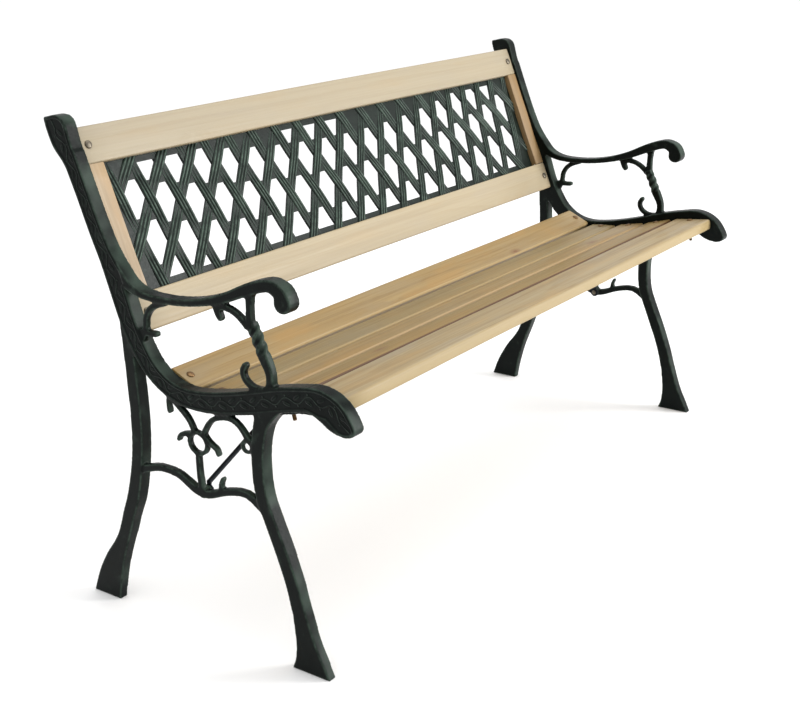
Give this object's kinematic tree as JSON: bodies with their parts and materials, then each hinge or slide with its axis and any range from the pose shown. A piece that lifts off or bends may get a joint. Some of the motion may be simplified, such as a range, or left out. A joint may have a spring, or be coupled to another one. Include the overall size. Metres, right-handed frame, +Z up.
{
  "type": "garden bench",
  "caption": "Garden bench with a back: two scrolled cast-iron end frames, timber seat slats and back rails, and a woven lattice back panel.",
  "frame": {"origin": "on the floor, under the middle of the bench's overall box", "axes": "+X along the bench to the sitter's left (the right side of a front view), -Y towards the front of the seat, +Z up"},
  "size_m": [1.22, 0.538, 0.753],
  "materials": {
    "cast_iron": "dark green-black paint with a worn, slightly verdigris sheen",
    "lattice_iron": "dark green-black satin paint",
    "back_timber": "clear-varnished pale pine",
    "seat_timber": "clear-varnished tan softwood",
    "brace_steel": "dark satin paint",
    "fasteners": "dulled zinc plate"
  },
  "bodies": {
    "root": {"left_end_frame": "cast_iron", "left_panel_upright": "back_timber", "left_brace_rod": "brace_steel", "seat_bolt_left_1": "fasteners", "seat_nut_left_1": "fasteners", "seat_bolt_left_2": "fasteners", "seat_nut_left_2": "fasteners", "seat_bolt_left_3": "fasteners", "seat_nut_left_3": "fasteners", "seat_bolt_left_4": "fasteners", "seat_nut_left_4": "fasteners", "seat_bolt_left_5": "fasteners", "seat_nut_left_5": "fasteners", "top_rail_bolt_left": "fasteners", "top_rail_nut_left": "fasteners", "bottom_rail_bolt_left": "fasteners", "bottom_rail_nut_left": "fasteners", "brace_foot_screw_left": "fasteners", "brace_top_screw_left": "fasteners", "right_end_frame": "cast_iron", "right_panel_upright": "back_timber", "right_brace_rod": "brace_steel", "seat_bolt_right_1": "fasteners", "seat_nut_right_1": "fasteners", "seat_bolt_right_2": "fasteners", "seat_nut_right_2": "fasteners", "seat_bolt_right_3": "fasteners", "seat_nut_right_3": "fasteners", "seat_bolt_right_4": "fasteners", "seat_nut_right_4": "fasteners", "seat_bolt_right_5": "fasteners", "seat_nut_right_5": "fasteners", "top_rail_bolt_right": "fasteners", "top_rail_nut_right": "fasteners", "bottom_rail_bolt_right": "fasteners", "bottom_rail_nut_right": "fasteners", "brace_foot_screw_right": "fasteners", "brace_top_screw_right": "fasteners", "seat_slat_1": "seat_timber", "seat_slat_2": "seat_timber", "seat_slat_3": "seat_timber", "seat_slat_4": "seat_timber", "seat_slat_5": "seat_timber", "top_back_rail": "back_timber", "bottom_back_rail": "back_timber", "lattice_panel": "lattice_iron"}
  },
  "joints": []
}
